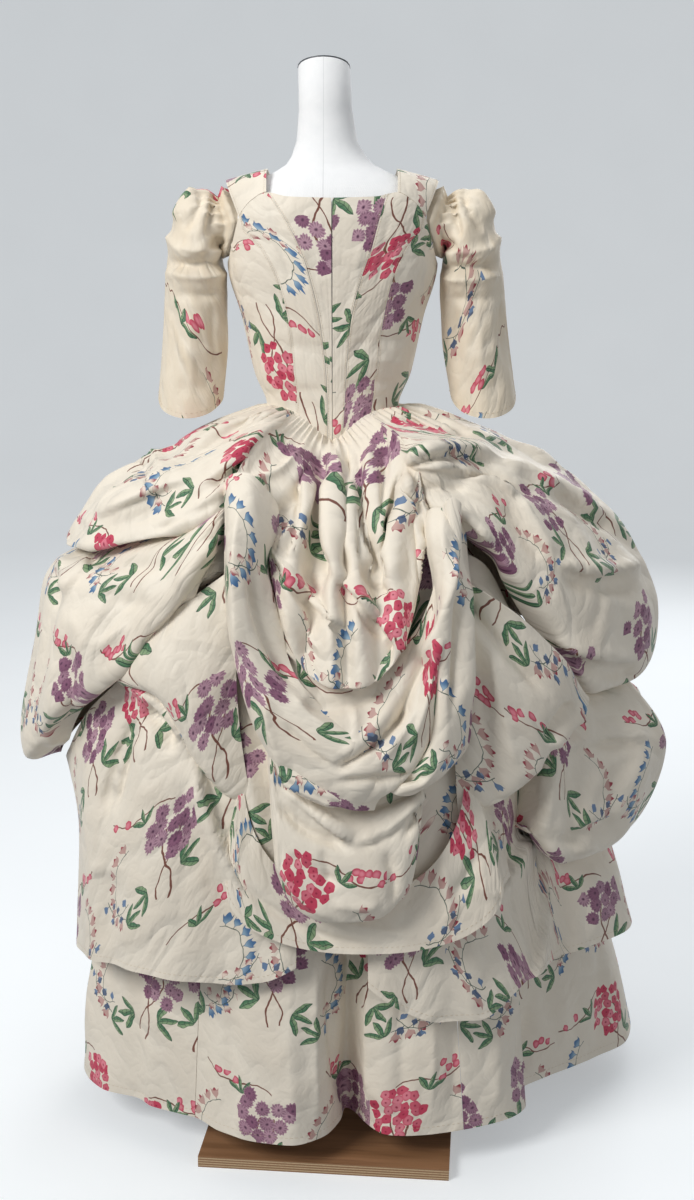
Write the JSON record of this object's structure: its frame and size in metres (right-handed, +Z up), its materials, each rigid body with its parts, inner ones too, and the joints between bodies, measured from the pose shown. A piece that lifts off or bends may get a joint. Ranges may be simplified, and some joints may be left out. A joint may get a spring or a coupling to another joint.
{
  "type": "robe a la polonaise with matching petticoat on a limbless dress form and stand",
  "caption": "Painted silk gown with fitted back, elbow sleeves and a skirt drawn up at two points into puffs and a tail, over a matching petticoat, on a white form with a plywood base.",
  "frame": {"origin": "underside of the base board, on the axis of the pole", "axes": "+Z up; the wearer faces +Y, so the back with the drawn-up skirt faces -Y"},
  "size_m": [0.9615, 0.6508, 1.5681],
  "materials": {
    "painted_silk": "cream silk taffeta with a painted spray pattern, soft sheen",
    "sleeve_silk": "cream silk taffeta, a little darker, sparse painted sprays",
    "form_white": "matt white cover",
    "neck_disc": "dark satin",
    "pole_steel": "grey painted steel",
    "plywood": "stained brown top with bare layered edges"
  },
  "bodies": {
    "root": {"bodice_centre_back_left": "painted_silk", "bodice_side_back_left": "painted_silk", "bodice_side_left": "painted_silk", "bodice_front_left": "painted_silk", "shoulder_strap_left": "painted_silk", "overskirt_side_left_upper_puff": "painted_silk", "overskirt_side_left_lower_puff": "painted_silk", "overskirt_side_left_hem": "painted_silk", "bodice_centre_back_right": "painted_silk", "bodice_side_back_right": "painted_silk", "bodice_side_right": "painted_silk", "bodice_front_right": "painted_silk", "shoulder_strap_right": "painted_silk", "overskirt_side_right_upper_puff": "painted_silk", "overskirt_side_right_lower_puff": "painted_silk", "overskirt_side_right_hem": "painted_silk", "overskirt_centre_pouf": "painted_silk", "overskirt_centre_swag": "painted_silk", "overskirt_centre_tail": "painted_silk", "overskirt_centre_hem": "painted_silk", "petticoat_centre_back": "painted_silk", "petticoat_side_left": "painted_silk", "petticoat_side_right": "painted_silk", "petticoat_front": "painted_silk", "sleeve_left": "sleeve_silk", "sleeve_right": "sleeve_silk", "form_torso": "form_white", "form_neck_disc": "neck_disc", "form_pole": "pole_steel", "base_board": "plywood"}
  },
  "joints": []
}
